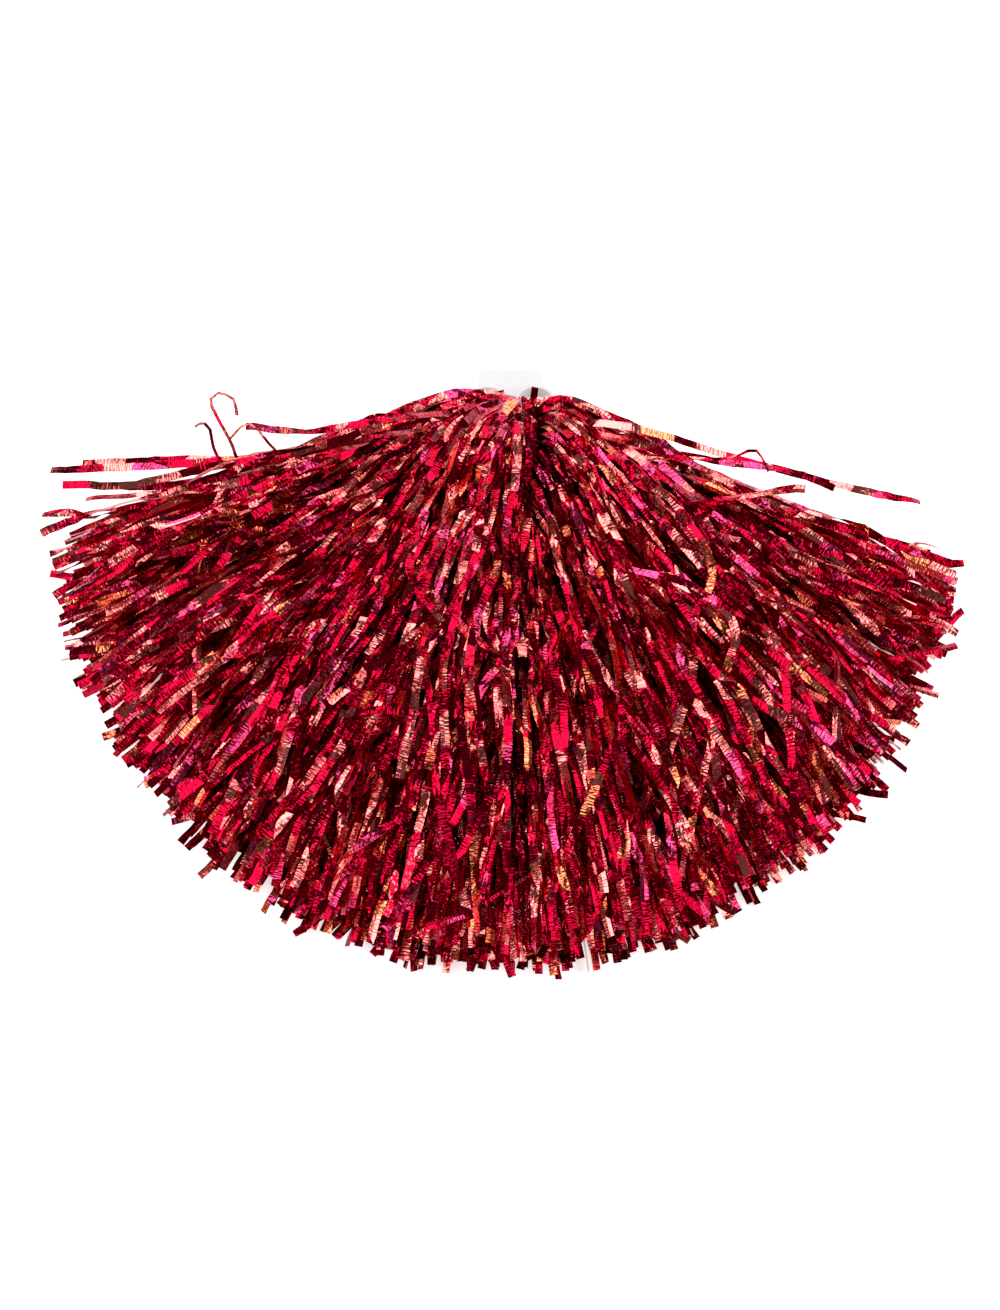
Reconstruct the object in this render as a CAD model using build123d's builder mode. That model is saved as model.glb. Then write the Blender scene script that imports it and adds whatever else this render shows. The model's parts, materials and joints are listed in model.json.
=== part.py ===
from build123d import *
from math import cos, radians, sin, sqrt
import os

# A fringed cheer pom pom lying on a table, handle at the back and strands fanned to the front.
# +Z is up and -Y is the front of the fan. The origin is on the table under the middle of the
# whole object. Every sector of strands turns about the tie, the one place where all are bound.

# Fan of foil strands: how far the tips reach from the tie, to the front and to the side.
front_reach = 350.0
side_reach = 290.0
root_clearance = 21.5
tip_rounding = 0.22

# Layers of the fan, as angles above the level plane through the tie, seen from the side.
lower_layer_top = 2.5
middle_layer = (3.5, 10.0)
top_layer = (11.0, 20.0)
middle_layer_share = 0.90
top_layer_share = 0.70

# Half-widths of the layers in plan, as turns from straight ahead, and the gap between wedges.
# A tuft on the table is cut from a taller blank by the slope of its top.
lower_layer_turn = 62.0
middle_layer_turn = 59.0
top_layer_turn = 50.0
wing_turns = (63.2, 76.0)
wedge_gap = 1.2
wing_rise = 4.0
tuft_blank_height = 80.0

# The parting that runs down the upper layers, a little right of the middle.
parting_x = 4.0
parting_half_gap = 2.0

# Moulded handle: two finger rings side by side on a flat web, and a neck for the foil.
finger_hole_radius = 9.75
ring_outer_radius = 12.5
ring_height = 8.0
ring_spacing = 30.0
ring_distance = 20.0
ring_edge_rounding = 1.2
hole_edge_rounding = 1.0
web_thickness = 3.0
web_far_end = 50.0
web_far_half_width = 19.0
web_near_half_width = 23.0
web_corner_rounding = 3.0
handle_slope = 22.0
neck_radius = 4.5
neck_front_end = -16.0
neck_back_end = 16.0
flange_radius = 7.0
flange_thickness = 2.0

# Gathered foil on the neck, and the cable tie round its waist.
bundle_radius = 13.0
bundle_waist_radius = 10.0
bundle_front_end = -13.8
bundle_back_end = 6.5
bundle_clearance = 0.2
tie_position = -3.0
waist_width = 6.6
tie_width = 4.8
tie_thickness = 1.3
tie_head_width = 6.0
tie_head_height = 4.6
tie_tail_length = 9.0
tie_head_turn = 200.0
tie_head_rounding = 0.4

# The handle's far edge rests on the table, which sets the tie's height and place.
slope = radians(handle_slope)
tie_height = web_far_end * sin(slope) + web_thickness / 2 * cos(slope)
back_reach = web_far_end * cos(slope) + web_thickness / 2 * sin(slope)
tie_y = (front_reach - back_reach) / 2
tie_point = (0, tie_y, tie_height)
lift_axis = Axis(tie_point, (-1, 0, 0))

os.makedirs("parts", exist_ok=True)


def save(part, name):
    part.label = name
    export_step(part, f"parts/{name}.step")


def on_ray(turn):
    """The point at a radius on the ray that leaves the tie at a turn from straight ahead."""
    return lambda radius: (radius * sin(radians(turn)), radius * cos(radians(turn)))


def along_parting(x):
    """The point at a radius on the line that runs straight ahead at x from the middle."""
    return lambda radius: (x, sqrt(radius**2 - x**2))


def reach_at(turn):
    """Strand tips reach furthest straight ahead and least to the sides."""
    return side_reach + (front_reach - side_reach) * cos(radians(turn)) ** 2


def arc_about_tie(start, end, radius):
    """The arc of a radius about the tie between two of its points."""
    middle = (Vector(*start) + Vector(*end)).normalized() * radius
    ThreePointArc(start, middle, end)


def wedge_sketch(plane, left, right, reach):
    """A blunt wedge of the fan between its left and right edges, with rounded outer corners."""
    with BuildSketch(plane) as wedge:
        with BuildLine():
            arc_about_tie(left(root_clearance), right(root_clearance), root_clearance)
            Line(right(root_clearance), right(reach))
            arc_about_tie(right(reach), left(reach), reach)
            Line(left(reach), left(root_clearance))
        make_face()
        width = (Vector(*right(reach)) - Vector(*left(reach))).length
        outer_corners = wedge.vertices().sort_by_distance((0, 0, 0))[-2:]
        fillet(outer_corners, radius=tip_rounding * width)
    return wedge.sketch


def raised_tuft(left, right, reach, layer):
    """A wedge of an upper layer, swung about the tie's cross line from its underside to its top."""
    start = radians(layer[0])
    underside = Plane(origin=tie_point, x_dir=(1, 0, 0), z_dir=(0, -sin(start), -cos(start)))
    with BuildPart() as tuft:
        add(wedge_sketch(underside, left, right, reach))
        revolve(axis=lift_axis, revolution_arc=layer[1] - layer[0])
    return tuft.part


def table_tuft(left, right, reach, top_plane):
    """A wedge that stands on the table and is cut off by a sloping plane through the tie."""
    table = Plane(origin=(0, tie_y, 0), x_dir=(1, 0, 0), z_dir=(0, 0, -1))
    with BuildPart() as tuft:
        add(wedge_sketch(table, left, right, reach))
        extrude(amount=tuft_blank_height, dir=(0, 0, 1))
        split(bisect_by=top_plane, keep=Keep.BOTTOM)
    return tuft.part


def wedge_edges(first_turn, last_turn, count):
    """Turns of the left and right edges of equal wedges, with a gap between neighbours."""
    step = (last_turn - first_turn + wedge_gap) / count
    return [(first_turn + i * step, first_turn + (i + 1) * step - wedge_gap) for i in range(count)]


# Lower layer: wedges right across the fan, lying on the table.
lower_places = (
    "left_end",
    "left_outer",
    "left_inner",
    "front",
    "right_inner",
    "right_outer",
    "right_end",
)
lower_rise = radians(lower_layer_top)
lower_top = Plane(origin=tie_point, x_dir=(1, 0, 0), z_dir=(0, sin(lower_rise), cos(lower_rise)))
lower_edges = wedge_edges(-lower_layer_turn, lower_layer_turn, len(lower_places))
for place, (left, right) in zip(lower_places, lower_edges):
    tuft = table_tuft(on_ray(left), on_ray(right), reach_at((left + right) / 2), lower_top)
    save(tuft, f"lower_tuft_{place}")

sides = (("left", -1), ("right", 1))

# Wings: the two wedges at each end of the fan, which sweep back over the table.
rise = radians(wing_rise)
for side, sign in sides:
    wing_top = Plane(origin=tie_point, x_dir=(0, 1, 0), z_dir=(-sign * sin(rise), 0, cos(rise)))
    for place, turns in zip(("front", "back"), wedge_edges(*wing_turns, 2)):
        left, right = sorted(sign * turn for turn in turns)
        tuft = table_tuft(on_ray(left), on_ray(right), side_reach, wing_top)
        save(tuft, f"wing_tuft_{side}_{place}")

# Middle and top layers: wedges to each side of the parting.
upper_layers = (
    ("middle", middle_layer, middle_layer_turn, middle_layer_share, ("inner", "centre", "outer")),
    ("top", top_layer, top_layer_turn, top_layer_share, ("inner", "outer")),
)
for layer_name, layer, half_width, share, places in upper_layers:
    for side, sign in sides:
        parting = along_parting(parting_x + sign * parting_half_gap)
        for place, (near, far) in zip(places, wedge_edges(0, half_width, len(places))):
            near_edge = parting if place == "inner" else on_ray(sign * near)
            far_edge = on_ray(sign * far)
            left, right = (far_edge, near_edge) if side == "left" else (near_edge, far_edge)
            tuft = raised_tuft(left, right, share * reach_at((near + far) / 2), layer)
            save(tuft, f"{layer_name}_tuft_{side}_{place}")

# Handle, moulded in one piece in a plane that slopes down to the table behind the tie.
handle_plane = Plane(origin=tie_point, x_dir=(1, 0, 0), z_dir=(0, sin(slope), cos(slope)))
neck_plane = Plane(origin=tie_point, x_dir=(1, 0, 0), z_dir=(0, cos(slope), -sin(slope)))
ring_places = [(-ring_spacing / 2, ring_distance), (ring_spacing / 2, ring_distance)]

with BuildPart() as handle:
    with BuildSketch(handle_plane):
        with Locations(*ring_places):
            Circle(ring_outer_radius)
    extrude(amount=ring_height / 2, both=True)
    fillet(handle.edges().filter_by(GeomType.CIRCLE), radius=ring_edge_rounding)
    with BuildSketch(handle_plane) as web:
        with BuildLine():
            Polyline(
                (-web_far_half_width, web_far_end),
                (web_far_half_width, web_far_end),
                (web_near_half_width, ring_distance),
                (-web_near_half_width, ring_distance),
                close=True,
            )
        make_face()
        fillet(web.vertices().group_by(Axis.Y)[-1], radius=web_corner_rounding)
    extrude(amount=web_thickness / 2, both=True)
    with BuildSketch(neck_plane.offset(neck_front_end)):
        Circle(neck_radius)
    extrude(amount=neck_back_end - neck_front_end)
    with BuildSketch(neck_plane.offset(neck_front_end)):
        Circle(flange_radius)
    extrude(amount=flange_thickness)
    with BuildSketch(handle_plane):
        with Locations(*ring_places):
            Circle(finger_hole_radius)
    extrude(amount=ring_height, both=True, mode=Mode.SUBTRACT)
    circles = handle.edges().filter_by(GeomType.CIRCLE)
    hole_rims = circles.filter_by(lambda edge: round(edge.radius, 2) == finger_hole_radius)
    fillet(hole_rims, radius=hole_edge_rounding)
save(handle.part, "ring_handle")

# Foil gathered round the neck, pulled in at a waist by the cable tie.
across_neck = Plane(origin=tie_point, x_dir=(0, cos(slope), -sin(slope)), z_dir=(1, 0, 0))
neck_axis = Axis(tie_point, (0, cos(slope), -sin(slope)))
waist_start = tie_position - waist_width / 2
waist_end = tie_position + waist_width / 2
with BuildPart() as bundle:
    with BuildSketch(across_neck):
        with BuildLine():
            Polyline(
                (bundle_front_end, neck_radius + bundle_clearance),
                (bundle_front_end, bundle_waist_radius),
                (bundle_front_end / 2 + waist_start / 2, bundle_radius),
                (waist_start, bundle_waist_radius),
                (waist_end, bundle_waist_radius),
                (waist_end / 2 + bundle_back_end / 2, bundle_radius),
                (bundle_back_end, bundle_waist_radius),
                (bundle_back_end, neck_radius + bundle_clearance),
                close=True,
            )
        make_face()
    revolve(axis=neck_axis)
save(bundle.part, "gathered_foil")

# Cable tie: a strap round the waist, its square head, and the trimmed tail.
strap_radius = bundle_waist_radius + bundle_clearance
strap_start = tie_position - tie_width / 2
with BuildPart() as cable_tie:
    with BuildSketch(neck_plane.offset(strap_start)):
        Circle(strap_radius + tie_thickness)
        Circle(strap_radius, mode=Mode.SUBTRACT)
    extrude(amount=tie_width)
    with BuildSketch(neck_plane.offset(tie_position - tie_head_width / 2)):
        with PolarLocations(strap_radius + tie_head_height / 2, 1, start_angle=tie_head_turn):
            Rectangle(tie_head_height, tie_head_width)
    extrude(amount=tie_head_width)
    with BuildSketch(neck_plane.offset(strap_start)):
        with PolarLocations(strap_radius + tie_head_height / 2, 1, start_angle=tie_head_turn):
            with Locations((0, tie_tail_length / 2)):
                Rectangle(tie_thickness, tie_tail_length)
    extrude(amount=tie_width)
    head_end = cable_tie.faces().filter_by(GeomType.PLANE).sort_by(SortBy.DISTANCE)[-1]
    fillet(head_end.edges(), radius=tie_head_rounding)
save(cable_tie.part, "cable_tie")
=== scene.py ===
import json
import math

import bpy
import numpy as np
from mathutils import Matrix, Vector


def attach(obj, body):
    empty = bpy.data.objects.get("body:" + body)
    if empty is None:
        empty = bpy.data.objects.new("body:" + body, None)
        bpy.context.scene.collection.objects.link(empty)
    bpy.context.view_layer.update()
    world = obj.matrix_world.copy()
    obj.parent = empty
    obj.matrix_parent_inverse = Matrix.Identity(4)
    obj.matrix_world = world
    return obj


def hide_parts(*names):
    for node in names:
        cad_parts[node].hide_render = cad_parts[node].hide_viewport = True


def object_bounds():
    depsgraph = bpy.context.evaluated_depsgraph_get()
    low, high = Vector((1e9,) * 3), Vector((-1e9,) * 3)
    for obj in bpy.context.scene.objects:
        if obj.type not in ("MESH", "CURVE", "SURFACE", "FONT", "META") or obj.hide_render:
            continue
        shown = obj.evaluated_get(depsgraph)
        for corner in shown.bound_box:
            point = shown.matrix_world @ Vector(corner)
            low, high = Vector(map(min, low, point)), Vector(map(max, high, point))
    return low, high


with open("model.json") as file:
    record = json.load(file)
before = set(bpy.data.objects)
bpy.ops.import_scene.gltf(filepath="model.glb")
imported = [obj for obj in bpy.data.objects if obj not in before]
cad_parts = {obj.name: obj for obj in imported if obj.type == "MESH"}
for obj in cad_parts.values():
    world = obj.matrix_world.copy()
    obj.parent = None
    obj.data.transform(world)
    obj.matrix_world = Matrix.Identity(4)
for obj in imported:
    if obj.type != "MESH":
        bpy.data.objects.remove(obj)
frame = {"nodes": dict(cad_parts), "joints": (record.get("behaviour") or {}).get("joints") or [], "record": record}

bl_info = {
    "name": "Foil Cheer Pom Pom",
    "version": (1, 0, 0),
    "blender": (4, 5, 0),
    "location": "3D View > Sidebar > Pom Pom",
    "description": "Fringes the packed pom pom with crinkled foil strands and lights it on a table",
    "category": "Add Mesh",
}

CAD_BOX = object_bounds()
TIE = Vector(next(joint["pos_m"] for joint in frame["joints"] if joint["name"] == "handle_tilt"))
TUFTS = sorted(name for name in frame["nodes"] if "_tuft_" in name)
BODY_OF = {node: body for body, nodes in frame["record"]["behaviour"]["bodies"].items() for node in nodes}


# Where the CAD puts the fan, seen from the tie


def polar_of(node):
    """Smallest and largest turn from straight ahead of a wedge, and how far it reaches from the tie."""
    corners = np.array([vertex.co for vertex in frame["nodes"][node].data.vertices])
    ahead = TIE.y - corners[:, 1]
    turns = np.arctan2(corners[:, 0], ahead)
    return float(turns.min()), float(turns.max()), float(np.hypot(corners[:, 0], ahead).max())


FRONT_REACH = polar_of("lower_tuft_front")[2]
SIDE_REACH = polar_of("wing_tuft_left_back")[2]
PILE_TOP = CAD_BOX[1].z


# Settings that a user would change


class PomFoilSettings(bpy.types.PropertyGroup):
    """Sizes and colours of the foil strands"""
    strand_width: bpy.props.FloatProperty(
        name="Strand Width", description="Width of one slit strand of foil",
        default=0.005, min=0.001, unit="LENGTH")
    crease_height: bpy.props.FloatProperty(
        name="Crease Height", description="How far the middle of a strand is creased up",
        default=0.00035, min=0.0, unit="LENGTH")
    film_depth: bpy.props.FloatProperty(
        name="Film Depth", description="How far the back of a strand lies behind its edges",
        default=0.00006, min=0.00001, unit="LENGTH")
    facet_length: bpy.props.FloatProperty(
        name="Facet Length", description="Length of the flat facets that a strand is crinkled into",
        default=0.0055, min=0.001, unit="LENGTH")
    crinkle: bpy.props.FloatProperty(
        name="Crinkle", description="How far the crinkles push a strand to and fro",
        default=0.00035, min=0.0, unit="LENGTH")
    strands_per_degree: bpy.props.FloatProperty(
        name="Strands per Degree", description="Strands of one full layer in each degree of the fan",
        default=3.6, min=0.1)
    seed: bpy.props.IntProperty(
        name="Seed", description="Start of everything that is random in the fringe", default=11)
    deep_red: bpy.props.FloatVectorProperty(
        name="Deep Red", description="Colour of the foil", subtype="COLOR",
        size=3, default=(0.41, 0.002, 0.021))
    # The flash colours are hologram tints and painted highlights at once: facets given them reflect far brighter
    # than the deep red, whatever light falls on them
    flash_salmon: bpy.props.FloatVectorProperty(
        name="Salmon Flash", description="Commonest tint of the hologram", subtype="COLOR",
        size=3, default=(1.0, 0.21, 0.19))
    flash_pink: bpy.props.FloatVectorProperty(
        name="Pink Flash", description="Cooler tint of the hologram", subtype="COLOR",
        size=3, default=(0.88, 0.055, 0.185))
    flash_orange: bpy.props.FloatVectorProperty(
        name="Orange Flash", description="Warmer tint of the hologram", subtype="COLOR",
        size=3, default=(1.0, 0.22, 0.1))


class PomHandleSettings(bpy.types.PropertyGroup):
    """Colours of the handle and the tie, and the pleats gathered round its neck"""
    # The plastic's default is a light grey rather than the white of the moulding: painted shade that keeps the
    # brightly lit handle from washing out
    plastic: bpy.props.FloatVectorProperty(
        name="Plastic", description="Colour of the moulded handle", subtype="COLOR",
        size=3, default=(0.6, 0.585, 0.6))
    nylon: bpy.props.FloatVectorProperty(
        name="Nylon", description="Colour of the cable tie", subtype="COLOR",
        size=3, default=(0.8, 0.79, 0.74))
    pleats: bpy.props.IntProperty(
        name="Pleats", description="Folds round the gathered foil", default=84, min=6)


class PomStageSettings(bpy.types.PropertyGroup):
    """The table and where the camera stands"""
    elevation: bpy.props.FloatProperty(
        name="Camera Elevation", description="Height of the camera above the table's level",
        default=math.radians(68), subtype="ANGLE")
    distance: bpy.props.FloatProperty(
        name="Camera Distance", description="From the camera to the point it looks at",
        default=1.7, min=0.1, unit="LENGTH")
    picture_height: bpy.props.FloatProperty(
        name="Picture Height", description="What the picture's height takes in at that distance",
        default=0.786, min=0.1, unit="LENGTH")
    floor: bpy.props.FloatVectorProperty(
        name="Floor", description="Colour of the table", subtype="COLOR",
        size=3, default=(0.94, 0.94, 0.94))
    glow: bpy.props.FloatProperty(
        name="Table Glow", description="Light that the lit table top gives off", default=0.5, min=0.0)


# Node helpers


def link_chain(tree, *sockets):
    """Links the sockets in pairs, each output to the input named after it."""
    for start, end in zip(sockets[::2], sockets[1::2]):
        tree.links.new(start, end)


def math_node(tree, operation, first, second=None, third=None):
    """A Math node whose inputs are sockets or numbers; returns its output."""
    node = tree.nodes.new("ShaderNodeMath")
    node.operation = operation
    for socket, value in zip(node.inputs, (first, second, third)):
        if value is None:
            continue
        if isinstance(value, bpy.types.NodeSocket):
            tree.links.new(value, socket)
        else:
            socket.default_value = value
    return node.outputs[0]


def mix_colour(tree, factor, first, second):
    """A Mix node whose factor is a socket and whose colours are sockets or values; returns its output."""
    node = tree.nodes.new("ShaderNodeMix")
    node.data_type = "RGBA"
    tree.links.new(factor, node.inputs[0])
    for socket, value in ((node.inputs[6], first), (node.inputs[7], second)):
        if isinstance(value, bpy.types.NodeSocket):
            tree.links.new(value, socket)
        else:
            socket.default_value = (*value, 1.0)
    return node.outputs[2]


# Foil: geometry


def foil_strand_tree():
    """Geometry Nodes that sweep a creased strip of film along every line of points they are given."""
    tree = bpy.data.node_groups.new("Foil Strands", "GeometryNodeTree")
    sockets = tree.interface
    sockets.new_socket("Geometry", in_out="INPUT", socket_type="NodeSocketGeometry")
    for name in ("Width", "Crease", "Depth", "Facet Length", "Crinkle"):
        sockets.new_socket(name, in_out="INPUT", socket_type="NodeSocketFloat")
    sockets.new_socket("Seed", in_out="INPUT", socket_type="NodeSocketInt")
    sockets.new_socket("Material", in_out="INPUT", socket_type="NodeSocketMaterial")
    sockets.new_socket("Geometry", in_out="OUTPUT", socket_type="NodeSocketGeometry")
    new, link = tree.nodes.new, tree.links.new
    given = new("NodeGroupInput").outputs

    lines = new("GeometryNodeMeshToCurve")
    link(given["Geometry"], lines.inputs["Mesh"])
    facets = new("GeometryNodeResampleCurve")
    facets.mode = "LENGTH"
    link(lines.outputs["Curve"], facets.inputs["Curve"])
    link(given["Facet Length"], facets.inputs["Length"])

    jitter = new("FunctionNodeRandomValue")
    jitter.data_type = "FLOAT_VECTOR"
    jitter.inputs["Min"].default_value = (-1.0, -1.0, -1.0)
    jitter.inputs["Max"].default_value = (1.0, 1.0, 1.0)
    link(given["Seed"], jitter.inputs["Seed"])
    push = new("ShaderNodeVectorMath")
    push.operation = "SCALE"
    link(jitter.outputs["Value"], push.inputs[0])
    link(given["Crinkle"], push.inputs["Scale"])
    crinkled = new("GeometryNodeSetPosition")
    link(facets.outputs["Curve"], crinkled.inputs["Geometry"])
    link(push.outputs["Vector"], crinkled.inputs["Offset"])

    level = new("GeometryNodeSetCurveNormal")
    level.mode = "Z_UP"
    link(crinkled.outputs["Geometry"], level.inputs["Curve"])
    turn = new("GeometryNodeInputNamedAttribute")
    turn.data_type = "FLOAT"
    turn.inputs["Name"].default_value = "turn"
    turned = new("GeometryNodeSetCurveTilt")
    link(level.outputs["Curve"], turned.inputs["Curve"])
    link(turn.outputs["Attribute"], turned.inputs["Tilt"])
    share = new("GeometryNodeInputNamedAttribute")
    share.data_type = "FLOAT"
    share.inputs["Name"].default_value = "width_share"

    distance = new("GeometryNodeSplineParameter")
    along = new("GeometryNodeStoreNamedAttribute")
    along.data_type = "FLOAT"
    along.domain = "POINT"
    along.inputs["Name"].default_value = "along"
    link(turned.outputs["Curve"], along.inputs["Geometry"])
    link(distance.outputs["Length"], along.inputs["Value"])

    section = new("GeometryNodeCurvePrimitiveQuadrilateral")
    section.mode = "KITE"
    link(given["Width"], section.inputs["Width"])
    link(given["Crease"], section.inputs["Top Height"])
    link(given["Depth"], section.inputs["Bottom Height"])
    place = new("GeometryNodeInputPosition")
    split = new("ShaderNodeSeparateXYZ")
    link(place.outputs["Position"], split.inputs["Vector"])
    across = new("GeometryNodeStoreNamedAttribute")
    across.data_type = "FLOAT"
    across.domain = "POINT"
    across.inputs["Name"].default_value = "across"
    link(section.outputs["Curve"], across.inputs["Geometry"])
    link(split.outputs["X"], across.inputs["Value"])

    swept = new("GeometryNodeCurveToMesh")
    swept.inputs["Fill Caps"].default_value = True
    link(share.outputs["Attribute"], swept.inputs["Scale"])
    link(along.outputs["Geometry"], swept.inputs["Curve"])
    link(across.outputs["Geometry"], swept.inputs["Profile Curve"])
    flat = new("GeometryNodeSetShadeSmooth")
    flat.inputs["Shade Smooth"].default_value = False
    link(swept.outputs["Mesh"], flat.inputs["Geometry"])
    real = new("GeometryNodeRealizeInstances")
    link(flat.outputs["Geometry"], real.inputs["Geometry"])
    finish = new("GeometryNodeSetMaterial")
    link(real.outputs["Geometry"], finish.inputs["Geometry"])
    link(given["Material"], finish.inputs["Material"])
    link(finish.outputs["Geometry"], new("NodeGroupOutput").inputs["Geometry"])
    return tree


POINTS = 28  # points that guide one strand
TWISTS = 9  # places along a strand where its face may turn
BEDDING = 0.003  # height of the lowest strands over the table
LOWEST_POINT = 0.0031  # no strand's middle line comes nearer to the table than this

# The dome: steep at the tie, sinking to its rim, a little lower at its ends and along the parting
DOME_SWELL, DOME_RISE, DOME_SINK, DOME_FALL = 1.25, 0.45, 0.5, 3.2
DOME_ENDS = 0.25
PARTING_PLACE, PARTING_WIDTH, PARTING_DEPTH = 0.012, 0.016, 0.35
PARTING_START, PARTING_FADE = 1.6, 2.0

# The ends of the fan, as turns from straight ahead
MOST_TURN = {"left": math.radians(71.5), "right": math.radians(64.5)}  # where the thick of the fan ends
WING_START = math.radians(60.0)
WING_END = max(abs(turn) for turn in polar_of("wing_tuft_left_back")[:2])
WING_SCATTER = 0.015
RIGHT_WING_SHARE = 0.7  # the right end is thinner than the left

# The root: strands leave the tie from a small patch, turn aside, rise as a fountain and fall
ROOT_CROWDING = 1.4  # above 1, a strand's guide points crowd towards the tie
ROOT_AHEAD, ROOT_ASIDE, ROOT_BELOW, ROOT_ABOVE = 0.006, 0.008, 0.007, 0.009
ROOT_BACK, ROOT_BACK_REACH = 0.008, 0.02
ROOT_SPREAD, ROOT_SPREAD_REACH = 0.62, 0.078
ROOT_FLOW = 0.045  # reach from which a strand lies on the pile
ROOT_NOTCH, ROOT_NOTCH_PLACE, ROOT_NOTCH_WIDTH = 0.85, 0.014, 0.009
FOUNTAIN, FOUNTAIN_REACH, FOUNTAIN_WIDTH, FOUNTAIN_ENDS = 0.034, 0.024, 0.026, 0.2

# How a strand strays from its straight way out
GRIP = 3.5  # the tie holds a strand still over the first 1 / GRIP of its way
DRIFT = 0.05  # turn that it wanders through
SWAY, RIPPLE = 0.005, 0.0022  # its long and short bends
BENT_SHARE, BEND, BEND_START = 0.3, 0.6, (0.5, 0.92)  # some strands kink aside near their ends
OVERHANG = 1.02  # no strand reaches past this share of the rim
LEVEL_WANDER, LEVEL_TOP = 0.16, 1.04
MOST_VEER, VEER_REACH = 0.3, 0.03
END_SCATTER, END_OPENING, END_OPENING_REACH = (0.01, 0.09), 0.6, 0.085
FACE_LEAN, FACE_WANDER, FACE_SHARPNESS = 0.25, 0.9, 2.5
CALM_REACH, CALM_SHARE = 0.07, 0.2  # faces turn less near the tie
HALF_TURN_CHANCE = 0.18


def bell(place, middle, width):
    """1 at the middle of a smooth bump, and almost 0 two widths away."""
    return np.exp(-(((place - middle) / width) ** 2))


def pile_height(reach, turn, level):
    """Height over the table of a level of the fan, 0 at the table and 1 on top, at a reach and turn."""
    out = np.clip(reach / FRONT_REACH, 0.0, 1.1)
    dome = DOME_SWELL * PILE_TOP * out**DOME_RISE * (1.0 - DOME_SINK * out**DOME_FALL)
    dome = dome * (1.0 - DOME_ENDS * np.sin(turn) ** 4)
    parting = bell(reach * np.sin(turn), PARTING_PLACE, PARTING_WIDTH)
    parting = parting * np.clip(PARTING_START - PARTING_FADE * out, 0.0, 1.0)
    return BEDDING + level * (dome * (1.0 - PARTING_DEPTH * parting) - BEDDING)


def wander(rng, count, knots, sharpness=1.0):
    """A random value between -1 and 1 at each point of each strand, that changes between its knots."""
    values = rng.uniform(-1.0, 1.0, (count, knots + 1))
    place = np.linspace(0.0, knots, POINTS)
    low = np.minimum(place.astype(int), knots - 1)
    part = np.clip((place - low - 0.5) * sharpness + 0.5, 0.0, 1.0)
    part = part * part * (3.0 - 2.0 * part)
    return values[:, low] * (1.0 - part) + values[:, low + 1] * part


def strand_lines(rng, turns, levels, reaches, rims):
    """Points of each strand from the tie to its tip, and the turn of its face at each."""
    count = len(turns)
    levels, reaches = levels[:, None], reaches[:, None]
    t = np.linspace(0.0, 1.0, POINTS)[None, :] ** ROOT_CROWDING
    rest = rng.uniform(0.0, ROOT_AHEAD, (count, 1))
    reach = rest + (reaches - rest) * t
    free = np.minimum(1.0, GRIP * t)
    turn = turns[:, None] + (rng.normal(0.0, DRIFT, (count, 1)) * t + DRIFT * wander(rng, count, 3)) * free
    turn = turn + ROOT_SPREAD * np.sin(turns)[:, None] * levels * bell(reach, 0.0, ROOT_SPREAD_REACH)
    sideways = (SWAY * wander(rng, count, 5) + RIPPLE * wander(rng, count, 12)) * free
    bent = (rng.random((count, 1)) < BENT_SHARE) * rng.normal(0.0, BEND, (count, 1))
    sideways = sideways + bent * np.maximum(0.0, reach - reaches * rng.uniform(*BEND_START, (count, 1)))
    past = np.maximum(1.0, np.hypot(reach, sideways) / (OVERHANG * rims[:, None]))
    reach, sideways = reach / past, sideways / past

    level = np.clip(levels + LEVEL_WANDER * wander(rng, count, 5), 0.0, LEVEL_TOP)
    height = pile_height(reach, turn, level)
    out = np.clip(reach / ROOT_FLOW, 0.0, 1.0)
    out = out * out * (3.0 - 2.0 * out)
    start = TIE.z + rng.uniform(-ROOT_BELOW, ROOT_ABOVE, (count, 1))
    notch = 1.0 - ROOT_NOTCH * bell(reach * np.sin(turn), ROOT_NOTCH_PLACE, ROOT_NOTCH_WIDTH)
    fountain = FOUNTAIN * levels * bell(reach, FOUNTAIN_REACH, FOUNTAIN_WIDTH)
    fountain = fountain * notch * (1.0 - FOUNTAIN_ENDS * np.sin(turns)[:, None] ** 2)
    height = start * (1.0 - out) + height * out + fountain + RIPPLE * wander(rng, count, 9) * free

    veer = np.clip(np.arctan2(sideways, np.maximum(reach, VEER_REACH)), -MOST_VEER, MOST_VEER)
    opening = END_OPENING * np.exp(-((reach / END_OPENING_REACH) ** 4))
    outer = rng.uniform(*END_SCATTER, (count, 1)) + opening
    turn = np.clip(turn + veer, -MOST_TURN["left"] - outer, MOST_TURN["right"] + outer)
    x = reach * np.sin(turn) + rng.uniform(-ROOT_ASIDE, ROOT_ASIDE, (count, 1)) * (1.0 - t)
    y = TIE.y - reach * np.cos(turn) + ROOT_BACK * notch * levels * bell(reach, 0.0, ROOT_BACK_REACH)
    points = np.stack([x, y, np.clip(height, LOWEST_POINT, None)], axis=2)

    lean = rng.normal(0.0, FACE_LEAN, (count, 1))
    calm = np.clip(reach / CALM_REACH, CALM_SHARE, 1.0)
    faces = lean + FACE_WANDER * wander(rng, count, TWISTS, FACE_SHARPNESS) * calm
    flips = rng.random((count, TWISTS + 1)) < HALF_TURN_CHANCE
    half_turns = np.cumsum(flips, axis=1) * rng.choice([-math.pi, math.pi], (count, 1))
    place = np.linspace(0.0, TWISTS, POINTS)
    low = np.minimum(place.astype(int), TWISTS - 1)
    faces = faces + half_turns[:, low] + (half_turns[:, low + 1] - half_turns[:, low]) * (place - low)
    return points, faces


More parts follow.
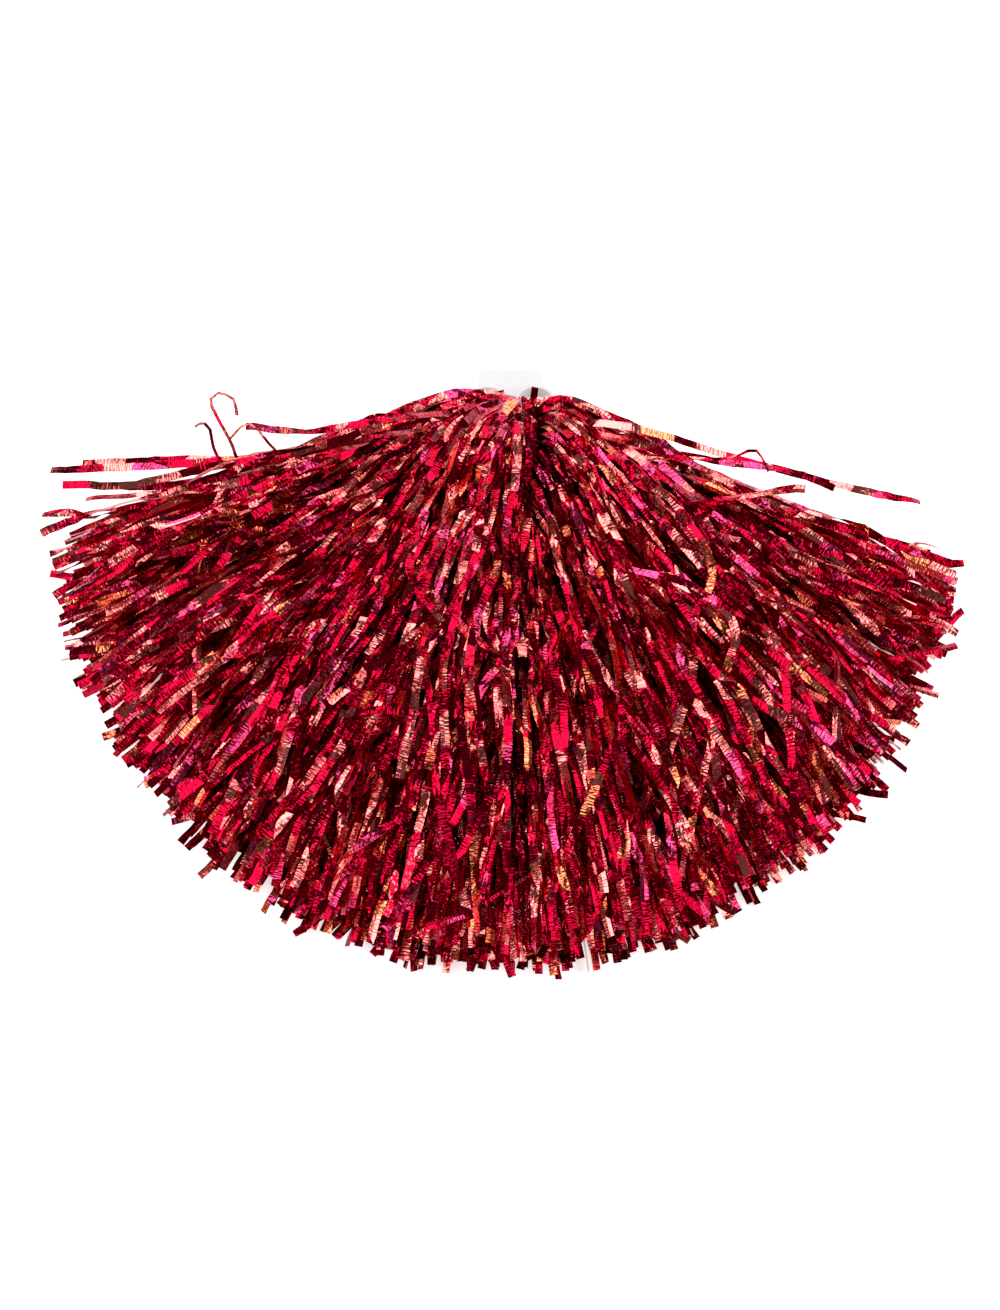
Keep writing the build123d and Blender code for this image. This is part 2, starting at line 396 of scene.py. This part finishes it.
def smooth_path(guides):
    """Evenly spread points of one strand along a smooth curve through a few guide points."""
    guides = np.array(guides, dtype=float)
    ends = np.vstack([2 * guides[0] - guides[1], guides, 2 * guides[-1] - guides[-2]])
    fine = []
    t = np.linspace(0.0, 1.0, 12, endpoint=False)[:, None]
    for i in range(len(guides) - 1):
        before, start, end, after = ends[i:i + 4]
        fine.append(start + 0.5 * t * (end - before + t * (
            2 * before - 5 * start + 4 * end - after + t * (3 * (start - end) + after - before))))
    fine = np.vstack([*fine, guides[-1:]])
    run = np.concatenate([[0.0], np.cumsum(np.linalg.norm(np.diff(fine, axis=0), axis=1))])
    even = np.linspace(0.0, run[-1], POINTS)
    return np.stack([np.interp(even, run, fine[:, axis]) for axis in range(3)], axis=1)


def stray_line(places):
    """Points of a strand that strays, from turns in degrees and shares of the side reach and pile height."""
    turns, shares, heights = np.array(places).T
    turns = np.radians(turns)
    reach = shares * SIDE_REACH
    return smooth_path(np.stack(
        [reach * np.sin(turns), TIE.y - reach * np.cos(turns), heights * PILE_TOP], axis=1))


# Strands that leave the fan or lie across it: each has its share of the strand width, then places
STRAYS = {
    "wing_tuft_left_back": (
        (1.0, (-60, 0.03, 0.3), (-70, 0.2, 0.7), (-74, 0.45, 0.55), (-80, 0.7, 0.35), (-84.6, 0.99, 0.1)),
        (1.0, (-60, 0.03, 0.3), (-70, 0.2, 0.65), (-75, 0.5, 0.5), (-81, 0.7, 0.34), (-84.8, 0.92, 0.14)),
        (1.0, (-62, 0.03, 0.3), (-70, 0.3, 0.6), (-77, 0.7, 0.3), (-81.1, 0.91, 0.18)),
        (1.0, (-62, 0.03, 0.3), (-70, 0.3, 0.5), (-76, 0.7, 0.3), (-79.3, 0.92, 0.16)),
        (0.9, (-62, 0.03, 0.3), (-72, 0.25, 0.7), (-78, 0.43, 0.6), (-84, 0.56, 0.5)),
        (0.42, (-66, 0.3, 0.5), (-74, 0.55, 0.4), (-82, 0.6, 0.52), (-88.5, 0.63, 0.62),
         (-88.5, 0.585, 0.66), (-85, 0.575, 0.58)),
        (0.42, (-68, 0.35, 0.5), (-76, 0.6, 0.4), (-85, 0.64, 0.5), (-86, 0.67, 0.42)),
        (0.36, (-70, 0.4, 0.5), (-76, 0.5, 0.5), (-83.5, 0.55, 0.55), (-81, 0.6, 0.5)),
    ),
    "wing_tuft_right_back": (
        (1.0, (58, 0.03, 0.3), (70, 0.25, 0.65), (75, 0.5, 0.45), (77.5, 0.75, 0.24), (78.6, 0.885, 0.14)),
        (1.0, (58, 0.03, 0.3), (66, 0.3, 0.6), (69, 0.65, 0.35), (71.5, 0.93, 0.14)),
        (0.9, (60, 0.1, 0.5), (71, 0.4, 0.5), (75.5, 0.6, 0.42), (76, 0.7, 0.3)),
        (0.42, (62, 0.3, 0.6), (71, 0.46, 0.58), (75, 0.52, 0.62), (73, 0.56, 0.5)),
    ),
    "top_tuft_left_inner": (
        (1.0, (-8, 0.6, 0.7), (-12, 0.76, 0.88), (-17.5, 0.79, 0.94), (-24, 0.83, 0.9)),
        (1.0, (-30, 0.35, 0.8), (-24, 0.5, 0.92), (-14, 0.58, 0.9)),
    ),
    "top_tuft_right_outer": (
        (1.0, (28, 0.5, 0.85), (36, 0.6, 0.92), (38, 0.72, 0.86), (31, 0.8, 0.84)),
        (1.0, (50, 0.45, 0.75), (42, 0.6, 0.86), (33, 0.66, 0.9)),
    ),
}


def hang_strands(name, node, points, faces, widths):
    """Makes one piece of foil strands that stands for a node and moves with its body."""
    settings = bpy.context.scene.pom_foil
    material = bpy.data.materials.get("red hologram foil") or foil_material(settings)
    tree = bpy.data.node_groups.get("Foil Strands") or foil_strand_tree()
    guides = guide_mesh(name, points, faces, widths)
    piece = sweep_strands(name, guides, tree, settings, material, seed=len(points))
    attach(piece, BODY_OF[node])
    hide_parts(node)


def guide_mesh(name, points, faces, widths):
    """A mesh of open lines, one for each strand, with its face's turn, share of the width and tint."""
    count = len(points)
    indices = np.arange(count * POINTS).reshape(count, POINTS)
    edges = np.stack([indices[:, :-1].ravel(), indices[:, 1:].ravel()], axis=1)
    mesh = bpy.data.meshes.new(name)
    mesh.from_pydata(points.reshape(-1, 3).tolist(), edges.tolist(), [])
    tints = np.random.default_rng(count).random(count)
    for attribute, values in (("turn", faces.ravel()), ("width_share", np.repeat(widths, POINTS)),
                              ("tint", np.repeat(tints, POINTS))):
        layer = mesh.attributes.new(attribute, "FLOAT", "POINT")
        layer.data.foreach_set("value", values.astype(np.float32))
    return mesh


def sweep_strands(name, guides, tree, settings, material, seed):
    """Runs the tree over the guides and leaves its result as a plain mesh."""
    guide = bpy.data.objects.new(name + "_guides", guides)
    bpy.context.scene.collection.objects.link(guide)
    modifier = guide.modifiers.new("Foil Strands", "NODES")
    modifier.node_group = tree
    values = {
        "Width": settings.strand_width,
        "Crease": settings.crease_height,
        "Depth": settings.film_depth,
        "Facet Length": settings.facet_length,
        "Crinkle": settings.crinkle,
        "Seed": seed,
        "Material": material,
    }
    for item in tree.interface.items_tree:
        if item.in_out == "INPUT" and item.name in values:
            modifier[item.identifier] = values[item.name]
    bpy.context.view_layer.update()
    graph = bpy.context.evaluated_depsgraph_get()
    mesh = bpy.data.meshes.new_from_object(
        guide.evaluated_get(graph), preserve_all_data_layers=True, depsgraph=graph)
    mesh.name = name
    bpy.data.objects.remove(guide)
    bpy.data.meshes.remove(guides)
    piece = bpy.data.objects.new(name, mesh)
    bpy.context.scene.collection.objects.link(piece)
    return piece


# Lowest and highest level, strands as a share of a full layer's, and the share that are shortened
LAYERS = {
    "lower": (0.02, 0.42, 1.6, 0.12),
    "middle": (0.42, 0.74, 1.1, 0.45),
    "top": (0.74, 1.0, 0.9, 0.7),
    "wing": (0.02, 1.0, 1.9, 0.3),
}
TUFT_OVERLAP = math.radians(1.2)
RIM_PULLED_IN = {"left": 0.015, "right": 0.04}  # the fan is a little narrower than its CAD outline
END_PULLED_IN, END_TURN, END_WIDTH = 0.07, 1.15, 0.15
TRIM, TRIM_SCATTER, TRIM_LIMITS = 0.985, 0.013, (0.93, 1.012)
SHORTENED = (0.5, 0.97)
STRAY_FACES = 0.6

# Loose ends round the tie, as places from its pivot: the first stands up before the right ring
LOOSE_ENDS = (
    ((0.003, -0.004, 0.008), (0.0105, 0.002, 0.015), (0.0138, 0.007, 0.021), (0.0146, 0.0115, 0.0265)),
    ((-0.003, -0.002, 0.009), (-0.0055, 0.006, 0.016), (-0.0065, 0.012, 0.0225)),
    ((-0.006, -0.004, 0.009), (-0.012, 0.004, 0.014), (-0.02, 0.008, 0.015), (-0.03, 0.008, 0.018)),
    ((0.004, -0.006, 0.010), (0.009, 0.002, 0.015), (0.013, 0.006, 0.0155), (0.026, 0.007, 0.021)),
    ((0.0, -0.006, 0.010), (-0.004, 0.003, 0.0135), (-0.012, 0.009, 0.0125), (-0.024, 0.010, 0.010)),
)
# Places along the neck, ahead of the tie's pivot, and the gathered foil's radius there: waist at the tie
BUNCH_PLACES = np.array((-0.0085, -0.004, 0.0, 0.003, 0.006, 0.0095, 0.0145))
BUNCH_RADII = np.array((0.0108, 0.0122, 0.0102, 0.0093, 0.0102, 0.0124, 0.0118))
BUNCH_DEPTH = 0.003  # how far the innermost pleats lie inside that radius
BUNCH_WIDTH_SHARE = 0.9


def make_fringe(layer):
    """Every tuft of a layer, each a piece that replaces its plain CAD wedge."""
    settings = bpy.context.scene.pom_foil
    low, high, fullness, shortened = LAYERS[layer]
    for node in TUFTS:
        if not node.startswith(layer):
            continue
        rng = np.random.default_rng([settings.seed, TUFTS.index(node)])
        first, last, _ = polar_of(node)
        count = round(math.degrees(last - first) * settings.strands_per_degree * fullness)
        if node.startswith("wing_tuft_right"):
            count = round(RIGHT_WING_SHARE * count)
        turns = rng.uniform(first - TUFT_OVERLAP, last + TUFT_OVERLAP, count)
        if layer == "wing":
            side = "left" if "left" in node else "right"
            closer = (MOST_TURN[side] - WING_START) / (WING_END - WING_START)
            turns = np.sign(turns) * (WING_START + (np.abs(turns) - WING_START) * closer)
            turns = turns + rng.normal(0.0, WING_SCATTER, count)
        levels = rng.uniform(low, high, count)
        rim = SIDE_REACH + (FRONT_REACH - SIDE_REACH) * np.cos(turns) ** 2
        pulled_in = np.where(turns > 0.0, RIM_PULLED_IN["right"], RIM_PULLED_IN["left"])
        rim = rim * (1.0 - pulled_in * np.sin(turns) ** 2)
        rim = rim * (1.0 - END_PULLED_IN * np.clip((np.abs(turns) - END_TURN) / END_WIDTH, 0.0, 1.0))
        trimmed = rim * rng.normal(TRIM, TRIM_SCATTER, count).clip(*TRIM_LIMITS)
        short = rng.random(count) < shortened
        reaches = np.where(short, rim * rng.uniform(*SHORTENED, count), trimmed)
        points, faces = strand_lines(rng, turns, levels, reaches, rim)
        widths = np.ones(count)
        strays = STRAYS.get(node, ())
        if strays:
            points = np.concatenate([points, [stray_line(stray[1:]) for stray in strays]])
            faces = np.concatenate([faces, STRAY_FACES * wander(rng, len(strays), TWISTS)])
            widths = np.concatenate([widths, [stray[0] for stray in strays]])
        hang_strands(node.replace("tuft", "fringe"), node, points, faces, widths)


# Foil: finish


# Where the random numbers of a facet, from 0 to 1, switch its tint
PINK_FROM, ORANGE_FROM = 0.6, 0.86
# Painted glints: specks that lift most facets towards the flash colours
GLINTING_FROM, GLINT_FROM, GLINT_STRENGTH = 0.3, 0.8, 0.75
FLASH_EDGE = 7.0  # how sharply a flash sets in
ROOT_FLASH_FADE = -1.6  # for each metre from the tie
# Painted shade: near-black lines along the crinkle creases of most facets
CREASE_SHADE_WIDTH, CREASE_SHADE_DEPTH, CREASE_SHADED_FROM = 0.07, 0.7, 0.35
CREASE_SHADE_COLOUR = (0.09, 0.0, 0.006)
CRINKLE_EDGE, CRINKLE_HEIGHT = 0.3, 0.22
SMOOTHEST, ROUGHER = 0.13, 0.1
STRAND_STEP = 517.0  # sets the strands' patterns far apart


def hologram_group():
    """Shader group: tint with painted highlights, painted glints and painted crease shade, crinkle height in
    metres and roughness of the facets along a strand.
    """
    group = bpy.data.node_groups.new("Hologram Facets", "ShaderNodeTree")
    sockets = group.interface
    for name in ("Deep", "Salmon", "Pink", "Orange"):
        sockets.new_socket(name, in_out="INPUT", socket_type="NodeSocketColor")
    for name in ("Facet Size", "Crease Size", "Speckle Size", "Tilt", "Flash Share", "Root Flash"):
        sockets.new_socket(name, in_out="INPUT", socket_type="NodeSocketFloat")
    sockets.new_socket("Color", in_out="OUTPUT", socket_type="NodeSocketColor")
    sockets.new_socket("Height", in_out="OUTPUT", socket_type="NodeSocketFloat")
    sockets.new_socket("Roughness", in_out="OUTPUT", socket_type="NodeSocketFloat")
    new, link = group.nodes.new, group.links.new
    given = new("NodeGroupInput").outputs

    def attribute(name):
        node = new("ShaderNodeAttribute")
        node.attribute_name = name
        return node.outputs["Fac"]

    along, across, tint = attribute("along"), attribute("across"), attribute("tint")
    strand = math_node(group, "MULTIPLY", tint, STRAND_STEP)

    def cells(size, wider, feature="F1"):
        """Irregular cells along a strand, wider across it; returns the texture and its coordinates."""
        place = new("ShaderNodeCombineXYZ")
        link(math_node(group, "DIVIDE", along, size), place.inputs[0])
        link(math_node(group, "DIVIDE", across, math_node(group, "MULTIPLY", size, wider)), place.inputs[1])
        link(strand, place.inputs[2])
        texture = new("ShaderNodeTexVoronoi")
        texture.feature = feature
        texture.inputs["Scale"].default_value = 1.0
        link(place.outputs[0], texture.inputs["Vector"])
        return texture, place

    def channels(socket):
        node = new("ShaderNodeSeparateColor")
        link(socket, node.inputs[0])
        return node.outputs

    facets, place = cells(given["Facet Size"], 1.3)
    chance = channels(facets.outputs["Color"])
    sparks = channels(cells(given["Speckle Size"], 1.0)[0].outputs["Color"])
    crease_edges = cells(given["Crease Size"], 4.0, "DISTANCE_TO_EDGE")[0].outputs["Distance"]

    # Tint: one facet in a few flashes, a painted highlight in a hologram tint, more of them near the tie, and most
    # carry painted glints
    pink = math_node(group, "GREATER_THAN", chance[1], PINK_FROM)
    orange = math_node(group, "GREATER_THAN", chance[1], ORANGE_FROM)
    flash = mix_colour(group, pink, given["Salmon"], given["Pink"])
    flash = mix_colour(group, orange, flash, given["Orange"])
    at_root = math_node(group, "MULTIPLY_ADD", along, ROOT_FLASH_FADE, given["Root Flash"])
    at_root = math_node(group, "MAXIMUM", at_root, 0.0)
    limit = math_node(group, "SUBTRACT", math_node(group, "SUBTRACT", 1.0, given["Flash Share"]), at_root)
    steep = math_node(group, "MULTIPLY", math_node(group, "SUBTRACT", chance[0], limit), FLASH_EDGE)
    # Painted glints: small specks on most facets take the flash colour
    glinting = math_node(group, "GREATER_THAN", chance[2], GLINTING_FROM)
    glint = math_node(group, "MULTIPLY", math_node(group, "GREATER_THAN", sparks[0], GLINT_FROM), glinting)
    strength = new("ShaderNodeClamp")
    link(math_node(group, "MULTIPLY_ADD", glint, GLINT_STRENGTH, steep), strength.inputs[0])
    colour = mix_colour(group, strength.outputs[0], given["Deep"], flash)
    # Painted shade: thin lines along the crinkle creases are darkened towards near-black red
    line = math_node(group, "LESS_THAN", crease_edges, CREASE_SHADE_WIDTH)
    line = math_node(group, "MULTIPLY", line, math_node(group, "GREATER_THAN", chance[1], CREASE_SHADED_FROM))
    colour = mix_colour(group, math_node(group, "MULTIPLY", line, CREASE_SHADE_DEPTH), colour, CREASE_SHADE_COLOUR)

    # Height: each facet leans its own way, and fine crinkles run across it
    lean = new("ShaderNodeVectorMath")
    lean.operation = "SUBTRACT"
    link(place.outputs[0], lean.inputs[0])
    link(facets.outputs["Position"], lean.inputs[1])
    offset = new("ShaderNodeSeparateXYZ")
    link(lean.outputs[0], offset.inputs[0])
    slope = math_node(group, "MULTIPLY", offset.outputs[0], math_node(group, "SUBTRACT", chance[2], 0.5))
    cross = math_node(group, "MULTIPLY", offset.outputs[1], math_node(group, "SUBTRACT", chance[0], 0.5))
    tilted = math_node(group, "MULTIPLY", math_node(group, "ADD", slope, cross), given["Facet Size"])
    tilted = math_node(group, "MULTIPLY", tilted, given["Tilt"])
    fine = math_node(group, "MINIMUM", crease_edges, CRINKLE_EDGE)
    fine = math_node(group, "MULTIPLY", fine, given["Crease Size"])
    height = math_node(group, "MULTIPLY_ADD", fine, CRINKLE_HEIGHT, tilted)
    outputs = new("NodeGroupOutput")
    link(colour, outputs.inputs["Color"])
    link(height, outputs.inputs["Height"])
    link(math_node(group, "MULTIPLY_ADD", sparks[2], ROUGHER, SMOOTHEST), outputs.inputs["Roughness"])
    return group


def new_material(name):
    """A material with nodes; returns it, its node tree and its main shader."""
    material = bpy.data.materials.new(name)
    material.use_nodes = True
    return material, material.node_tree, material.node_tree.nodes["Principled BSDF"]


def foil_material(settings):
    """Mirror-bright red film, crinkled in facets, some painted salmon, pink and orange as hologram tints and
    painted highlights, with painted glints and painted shade along the creases.
    """
    material, tree, shader = new_material("red hologram foil")
    facets = tree.nodes.new("ShaderNodeGroup")
    facets.node_tree = hologram_group()
    for name, colour in (("Deep", settings.deep_red), ("Salmon", settings.flash_salmon),
                         ("Pink", settings.flash_pink), ("Orange", settings.flash_orange)):
        facets.inputs[name].default_value = (*colour, 1.0)
    for name, value in (("Facet Size", 0.019), ("Crease Size", 0.0018), ("Speckle Size", 0.0011),
                        ("Tilt", 0.7), ("Flash Share", 0.385), ("Root Flash", 0.2)):
        facets.inputs[name].default_value = value
    bump = tree.nodes.new("ShaderNodeBump")
    bump.inputs["Strength"].default_value = 1.0
    bump.inputs["Distance"].default_value = 1.0
    shader.inputs["Metallic"].default_value = 1.0
    link_chain(
        tree,
        facets.outputs["Color"], shader.inputs["Base Color"],
        facets.outputs["Roughness"], shader.inputs["Roughness"],
        facets.outputs["Height"], bump.inputs["Height"],
        bump.outputs["Normal"], shader.inputs["Normal"],
    )
    return material


def plastic_material(name, colour, roughness, grain):
    """Moulded plastic with a faint flow mottle and a fine surface grain."""
    material, tree, shader = new_material(name)
    place = tree.nodes.new("ShaderNodeTexCoord")
    mottle = tree.nodes.new("ShaderNodeTexNoise")
    mottle.inputs["Scale"].default_value = 90.0
    mottle.inputs["Detail"].default_value = 4.0
    fine = tree.nodes.new("ShaderNodeTexNoise")
    fine.inputs["Scale"].default_value = grain
    bump = tree.nodes.new("ShaderNodeBump")
    bump.inputs["Strength"].default_value = 0.12
    bump.inputs["Distance"].default_value = 0.0002
    darker = tuple(0.93 * channel for channel in colour)
    link_chain(
        tree,
        place.outputs["Object"], mottle.inputs["Vector"],
        place.outputs["Object"], fine.inputs["Vector"],
        mix_colour(tree, mottle.outputs["Fac"], tuple(colour), darker), shader.inputs["Base Color"],
        math_node(tree, "MULTIPLY_ADD", fine.outputs["Fac"], 0.15, roughness), shader.inputs["Roughness"],
        fine.outputs["Fac"], bump.inputs["Height"],
        bump.outputs["Normal"], shader.inputs["Normal"],
    )
    shader.inputs["Subsurface Weight"].default_value = 0.15
    shader.inputs["Subsurface Radius"].default_value = (0.002, 0.002, 0.002)
    return material


# Operators


class POM_OT_lower_fringe(bpy.types.Operator):
    """Hang the lower layer of foil strands that lies on the table"""
    bl_idname = "pom.lower_fringe"
    bl_label = "Lower Fringe"

    def execute(self, context):
        make_fringe("lower")
        return {"FINISHED"}


class POM_OT_middle_fringe(bpy.types.Operator):
    """Hang the middle layer of foil strands, to each side of the parting"""
    bl_idname = "pom.middle_fringe"
    bl_label = "Middle Fringe"

    def execute(self, context):
        make_fringe("middle")
        return {"FINISHED"}


class POM_OT_top_fringe(bpy.types.Operator):
    """Hang the top layer of foil strands, to each side of the parting"""
    bl_idname = "pom.top_fringe"
    bl_label = "Top Fringe"

    def execute(self, context):
        make_fringe("top")
        return {"FINISHED"}


class POM_OT_wing_fringe(bpy.types.Operator):
    """Hang the foil strands at the two ends of the fan"""
    bl_idname = "pom.wing_fringe"
    bl_label = "Wing Fringe"

    def execute(self, context):
        make_fringe("wing")
        return {"FINISHED"}


class POM_OT_gathered_foil(bpy.types.Operator):
    """Gather foil round the handle's neck, pinched at its waist by the cable tie"""
    bl_idname = "pom.gathered_foil"
    bl_label = "Gathered Foil"

    def execute(self, context):
        settings = context.scene.pom_handle
        rng = np.random.default_rng(settings.pleats)
        up = np.array(frame["record"]["mounts"][0]["axis"])
        ahead = np.cross((1.0, 0.0, 0.0), up)
        count = settings.pleats
        round_neck = np.linspace(-math.pi, math.pi, count, endpoint=False) + rng.normal(0.0, 0.08, count)
        layer = rng.uniform(0.0, 1.0, count)
        lines = []
        for angle, depth in zip(round_neck, layer):
            outwards = math.sin(angle) * np.array((1.0, 0.0, 0.0)) + math.cos(angle) * up
            lines.append(smooth_path([
                np.array(TIE) + place * ahead + (radius - BUNCH_DEPTH * depth) * outwards
                for place, radius in zip(BUNCH_PLACES + rng.normal(0.0, 0.0006, len(BUNCH_PLACES)),
                                         BUNCH_RADII + rng.normal(0.0, 0.0004, len(BUNCH_RADII)))]))
        faces = np.repeat(round_neck[:, None], POINTS, axis=1) + 0.5 * wander(rng, count, TWISTS)
        loose = [smooth_path([np.array(TIE) + place for place in places]) for places in LOOSE_ENDS]
        faces = np.concatenate([faces, 0.3 * wander(rng, len(loose), TWISTS)])
        hang_strands("gathered_bunch", "gathered_foil", np.array(lines + loose), faces,
                     np.full(len(faces), BUNCH_WIDTH_SHARE))
        return {"FINISHED"}


class POM_OT_handle(bpy.types.Operator):
    """Finish the moulded ring handle and the cable tie"""
    bl_idname = "pom.handle"
    bl_label = "Handle and Tie"

    def execute(self, context):
        settings = context.scene.pom_handle
        finishes = {
            "ring_handle": plastic_material("white moulded plastic", settings.plastic, 0.28, 2500.0),
            "cable_tie": plastic_material("natural nylon", settings.nylon, 0.42, 1800.0),
        }
        for node, material in finishes.items():
            mesh = frame["nodes"][node].data
            mesh.materials.clear()
            mesh.materials.append(material)
        return {"FINISHED"}


FLOOR_HALF = 1.5
# Name, place, size and power of each soft light, all turned to the pom pom
SOFTBOXES = (
    ("left softbox", (-1.75, -0.1, 1.35), 1.7, 46.0),
    ("right softbox", (1.75, -0.3, 1.3), 1.7, 43.5),
    ("back softbox", (0.2, 1.9, 1.3), 1.7, 43.5),
    ("front softbox", (-0.2, -2.0, 0.9), 1.6, 24.0),
)
# The surround is bright where the camera sees it, dimmer on matt surfaces and darkest in the foil
SURROUND_SEEN, SURROUND_ON_MATT, SURROUND_IN_FOIL = 1.2, 0.24, 0.13
SENSOR = 36.0


class POM_OT_stage(bpy.types.Operator):
    """Lay the pale table, hang the soft lights and set the camera"""
    bl_idname = "pom.stage"
    bl_label = "Stage"

    def execute(self, context):
        settings = context.scene.pom_stage
        scene = context.scene
        floor_mesh = bpy.data.meshes.new("table")
        corners = [(x * FLOOR_HALF, y * FLOOR_HALF, 0) for x, y in ((-1, -1), (1, -1), (1, 1), (-1, 1))]
        floor_mesh.from_pydata(corners, [], [(0, 1, 2, 3)])
        floor = bpy.data.objects.new("table", floor_mesh)
        scene.collection.objects.link(floor)
        material, _, shader = new_material("pale table")
        shader.inputs["Base Color"].default_value = (*settings.floor, 1.0)
        shader.inputs["Roughness"].default_value = 0.9
        shader.inputs["Emission Color"].default_value = (1.0, 1.0, 1.0, 1.0)
        shader.inputs["Emission Strength"].default_value = settings.glow
        floor_mesh.materials.append(material)

        for name, place, size, power in SOFTBOXES:
            light = bpy.data.lights.new(name, "AREA")
            light.size = size
            light.energy = power
            lamp = bpy.data.objects.new(name, light)
            lamp.location = place
            lamp.rotation_euler = (-Vector(place)).to_track_quat("-Z", "Y").to_euler()
            lamp.visible_camera = False
            scene.collection.objects.link(lamp)
        world = bpy.data.worlds.new("studio")
        world.use_nodes = True
        surround = world.node_tree.nodes["Background"]
        surround.inputs["Color"].default_value = (1.0, 1.0, 1.0, 1.0)
        tree = world.node_tree
        rays = tree.nodes.new("ShaderNodeLightPath").outputs
        on_matt = math_node(tree, "MULTIPLY", rays["Is Diffuse Ray"], SURROUND_ON_MATT)
        pale = math_node(tree, "MAXIMUM", rays["Is Camera Ray"], on_matt)
        strength = math_node(tree, "MULTIPLY_ADD", pale, SURROUND_SEEN, SURROUND_IN_FOIL)
        tree.links.new(strength, surround.inputs["Strength"])
        scene.world = world

        target = Vector((-0.007, -0.003, 0.02))
        away = Vector((0.0, -math.cos(settings.elevation), math.sin(settings.elevation)))
        camera_data = bpy.data.cameras.new("camera")
        camera_data.sensor_width = SENSOR
        camera_data.lens = SENSOR * settings.distance / settings.picture_height
        camera = bpy.data.objects.new("camera", camera_data)
        camera.location = target + away * settings.distance
        camera.rotation_euler = (-away).to_track_quat("-Z", "Y").to_euler()
        scene.collection.objects.link(camera)
        scene.camera = camera
        scene.view_settings.view_transform = "Standard"
        scene.view_settings.exposure = -0.3
        return {"FINISHED"}


class POM_PT_panel(bpy.types.Panel):
    """The steps that make the pom pom, in order"""
    bl_idname = "POM_PT_panel"
    bl_label = "Pom Pom"
    bl_space_type = "VIEW_3D"
    bl_region_type = "UI"
    bl_category = "Pom Pom"

    def draw(self, context):
        for operator in OPERATORS:
            self.layout.operator(operator.bl_idname)
        for group in (context.scene.pom_foil, context.scene.pom_handle, context.scene.pom_stage):
            for name in group.__annotations__:
                self.layout.prop(group, name)


GROUPS = {"pom_foil": PomFoilSettings, "pom_handle": PomHandleSettings, "pom_stage": PomStageSettings}
OPERATORS = (POM_OT_stage, POM_OT_lower_fringe, POM_OT_wing_fringe, POM_OT_middle_fringe,
             POM_OT_top_fringe, POM_OT_gathered_foil, POM_OT_handle)


def register():
    for name, group in GROUPS.items():
        bpy.utils.register_class(group)
        setattr(bpy.types.Scene, name, bpy.props.PointerProperty(type=group))
    for cls in (*OPERATORS, POM_PT_panel):
        bpy.utils.register_class(cls)


def unregister():
    for cls in (POM_PT_panel, *reversed(OPERATORS)):
        bpy.utils.unregister_class(cls)
    for name, group in reversed(GROUPS.items()):
        delattr(bpy.types.Scene, name)
        bpy.utils.unregister_class(group)


def main():
    register()
    for operator in OPERATORS:
        category, name = operator.bl_idname.split(".")
        getattr(getattr(bpy.ops, category), name)()


if __name__ == "__main__":
    main()
